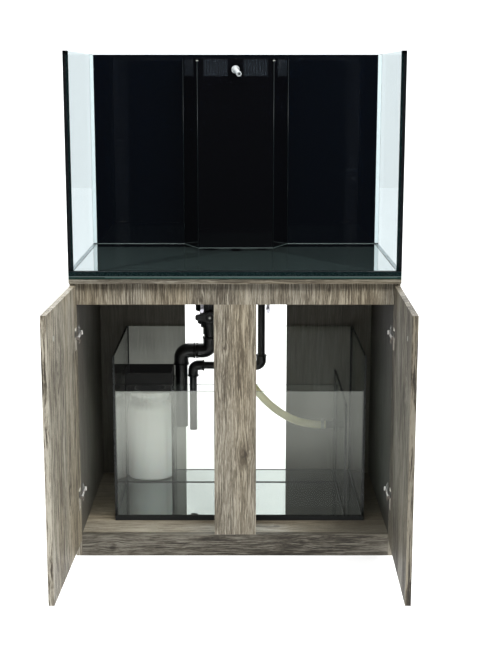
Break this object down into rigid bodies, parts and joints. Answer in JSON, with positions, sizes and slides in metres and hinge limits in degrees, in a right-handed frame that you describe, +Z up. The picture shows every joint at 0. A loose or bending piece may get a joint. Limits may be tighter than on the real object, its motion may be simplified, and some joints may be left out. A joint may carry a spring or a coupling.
{
  "type": "aquarium on stand",
  "caption": "Rimless glass tank with black back and overflow box on a driftwood two-door cabinet with valve plumbing and a glass sump holding a felt filter sock.",
  "frame": {"origin": "on the ground, under the middle of the cabinet top", "axes": "+X to the viewer's right, +Y to the back, +Z up"},
  "size_m": [0.9236, 1.0527, 1.421],
  "materials": {
    "driftwood_laminate": "matt textured laminate, grey-brown driftwood grain",
    "clear_glass": "polished clear float glass",
    "black_glass": "glass backed with black film",
    "black_acrylic": "polished black acrylic sheet",
    "black_pvc": "satin black moulded pipe and fittings",
    "hinge_steel": "nickel-plated pressed steel",
    "grey_nozzle": "pale grey glossy plastic",
    "white_plastic": "white moulded plastic",
    "vinyl_hose": "milky translucent vinyl",
    "white_felt": "needled polyester felt",
    "black_silicone": "smooth cured silicone",
    "black_foam": "closed-cell foam"
  },
  "bodies": {
    "frame": {"tank_bottom": "clear_glass", "tank_front": "clear_glass", "tank_back": "black_glass", "tank_left": "clear_glass", "tank_right": "clear_glass", "tank_silicone": "black_silicone", "levelling_mat": "black_foam", "overflow_front": "black_acrylic", "overflow_left": "black_acrylic", "overflow_right": "black_acrylic", "drain_standpipe": "black_pvc", "emergency_standpipe": "black_pvc", "return_riser": "black_pvc", "bulkheads": "black_pvc", "bulkhead_nuts": "black_pvc", "cabinet_top": "driftwood_laminate", "left_side": "driftwood_laminate", "right_side": "driftwood_laminate", "cabinet_floor": "driftwood_laminate", "apron": "driftwood_laminate", "base_rail": "driftwood_laminate", "centre_stile": "driftwood_laminate", "left_back": "driftwood_laminate", "right_back": "driftwood_laminate", "back_stretcher": "driftwood_laminate", "rear_base_rail": "driftwood_laminate", "left_hinge_arms": "hinge_steel", "right_hinge_arms": "hinge_steel", "left_latch": "white_plastic", "right_latch": "white_plastic", "valve_body": "black_pvc", "union_nuts": "black_pvc", "drain_pipes": "black_pvc", "drain_elbows": "black_pvc", "emergency_pipes": "black_pvc", "emergency_elbows": "black_pvc", "return_hose": "vinyl_hose", "hose_barbs": "black_pvc", "hose_clamps": "hinge_steel", "sump_base": "black_foam", "sump_front": "clear_glass", "sump_back": "clear_glass", "sump_left": "clear_glass", "sump_right": "clear_glass", "sump_partition": "clear_glass", "sump_baffles": "clear_glass"},
    "left_door": {"left_door": "driftwood_laminate", "left_hinge_cups": "hinge_steel", "latch_strikes_left": "hinge_steel"},
    "right_door": {"right_door": "driftwood_laminate", "right_hinge_cups": "hinge_steel", "latch_strikes_right": "hinge_steel"},
    "left_plunger": {"left_plunger": "white_plastic"},
    "right_plunger": {"right_plunger": "white_plastic"},
    "valve_handle": {"valve_handle": "black_pvc"},
    "nozzle_collar": {"nozzle_collar": "grey_nozzle"},
    "return_nozzle": {"return_nozzle": "grey_nozzle"},
    "sock_tray": {"sock_tray": "black_acrylic"},
    "filter_sock": {"filter_sock": "white_felt", "sock_ring": "black_acrylic"}
  },
  "joints": [
    {"name": "left_door_hinge", "type": "hinge", "parent": "frame", "child": "left_door", "pos_m": [-0.4491, -0.3, 0.4185], "axis": [0, 0, 1], "range_deg": [-3, 91.6]},
    {"name": "right_door_hinge", "type": "hinge", "parent": "frame", "child": "right_door", "pos_m": [0.4491, -0.3, 0.4185], "axis": [0, 0, -1], "range_deg": [-6, 88.6]},
    {"name": "left_latch_push", "type": "slide", "parent": "frame", "child": "left_plunger", "axis": [0, 1, 0], "range_m": [0, 0.002], "stiffness_N_per_m": 300},
    {"name": "right_latch_push", "type": "slide", "parent": "frame", "child": "right_plunger", "axis": [0, 1, 0], "range_m": [0, 0.002], "stiffness_N_per_m": 300},
    {"name": "valve_turn", "type": "hinge", "parent": "frame", "child": "valve_handle", "pos_m": [-0.082, 0.1997, 0.606], "axis": [0, 1, 0], "range_deg": [0, 90]},
    {"name": "nozzle_swivel", "type": "hinge", "parent": "frame", "child": "nozzle_collar", "pos_m": [0, 0.1677, 1.375], "axis": [0, 1, 0], "continuous": true},
    {"name": "nozzle_tilt", "type": "hinge", "parent": "nozzle_collar", "child": "return_nozzle", "pos_m": [0, 0.1677, 1.375], "axis": [0.788, 0, 0.6157], "range_deg": [-64, 6]},
    {"name": "tray_lift", "type": "slide", "parent": "frame", "child": "sock_tray", "axis": [0, 0, 1], "range_m": [0, 0.3]},
    {"name": "sock_lift", "type": "slide", "parent": "frame", "child": "filter_sock", "axis": [0, 0, 1], "range_m": [0, 0.024]}
  ]
}
